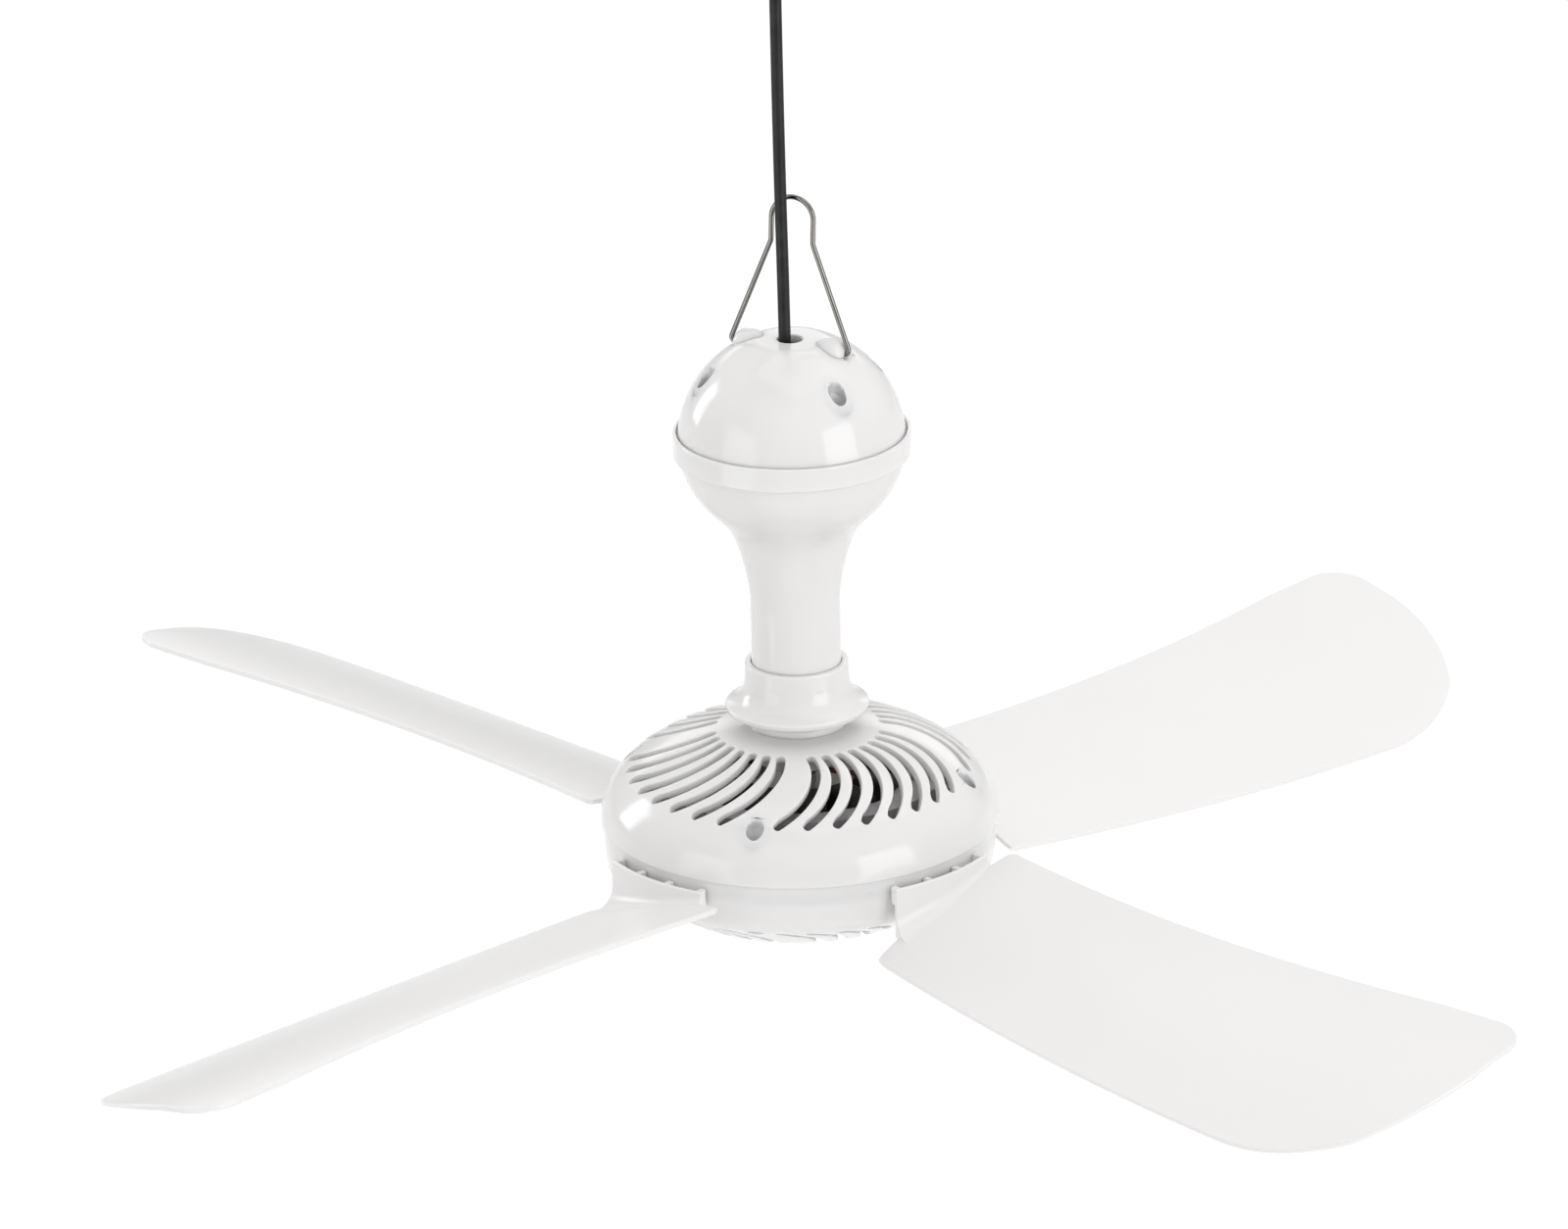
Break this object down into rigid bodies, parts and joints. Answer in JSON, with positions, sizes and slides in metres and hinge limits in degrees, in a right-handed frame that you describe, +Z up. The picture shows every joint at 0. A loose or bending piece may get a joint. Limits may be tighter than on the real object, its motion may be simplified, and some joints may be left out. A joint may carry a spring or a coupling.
{
  "type": "hanging camping fan",
  "caption": "Small white ceiling-style fan that hangs by a wire bail; its motor housing turns with the blades under a ball-topped stem.",
  "frame": {"origin": "top of the bail's loop, on the wire's inner side, where a hook carries the fan", "axes": "+Z up along the fan's axis, -Y towards the viewer of the picture, +X to that viewer's right"},
  "size_m": [0.3146, 0.3145, 0.3051],
  "materials": {
    "white_shell": "glossy",
    "blade_plastic": "satin",
    "bail_wire": "polished",
    "cord_black": "satin",
    "plug_black": "satin",
    "screw_steel": "zinc plated",
    "shaft_steel": "ground",
    "laminations": "varnished",
    "copper": "enamelled",
    "brass": "plated",
    "cage_aluminium": "cast",
    "bush_bronze": "sintered",
    "insulator_plastic": "plain",
    "inner_plastic": "plain",
    "capacitor_plastic": "plain",
    "lead_insulation": "plain"
  },
  "bodies": {
    "stem": {"dome_cover": "white_shell", "neck_shell": "white_shell", "collar": "white_shell", "cord_clamp": "inner_plastic", "terminal_block": "inner_plastic", "terminal_tubes": "brass", "terminal_screws": "screw_steel", "clamp_screws": "screw_steel", "ball_screws": "screw_steel", "run_capacitor": "capacitor_plastic", "motor_leads": "lead_insulation", "shaft": "shaft_steel", "shaft_nut": "screw_steel", "nut_washer": "screw_steel", "thrust_washer": "shaft_steel", "shaft_clip": "shaft_steel", "stator_core": "laminations", "stator_insulators": "insulator_plastic", "windings": "copper", "cord_lower": "cord_black", "plug_relief": "plug_black", "plug_body": "plug_black", "plug_pins": "brass"},
    "rotor": {"top_cover": "white_shell", "bottom_cup": "white_shell", "bottom_cap": "white_shell", "rotor_ring": "laminations", "rotor_cage": "cage_aluminium", "top_bush": "bush_bronze", "bottom_bush": "bush_bronze", "cover_screws": "screw_steel", "blade_1": "blade_plastic", "blade_2": "blade_plastic", "blade_3": "blade_plastic", "blade_4": "blade_plastic"},
    "bail": {"bail": "bail_wire"}
  },
  "joints": [
    {"name": "rotor_spin", "type": "hinge", "parent": "stem", "child": "rotor", "pos_m": [-0.00133, -0.00305, -0.14824], "axis": [0, 0, 1], "continuous": true},
    {"name": "bail_hinge", "type": "hinge", "parent": "stem", "child": "bail", "pos_m": [-0.00133, -0.00305, -0.03454], "axis": [-0.9171, 0.3987, 0], "range_deg": [0, 78]}
  ]
}
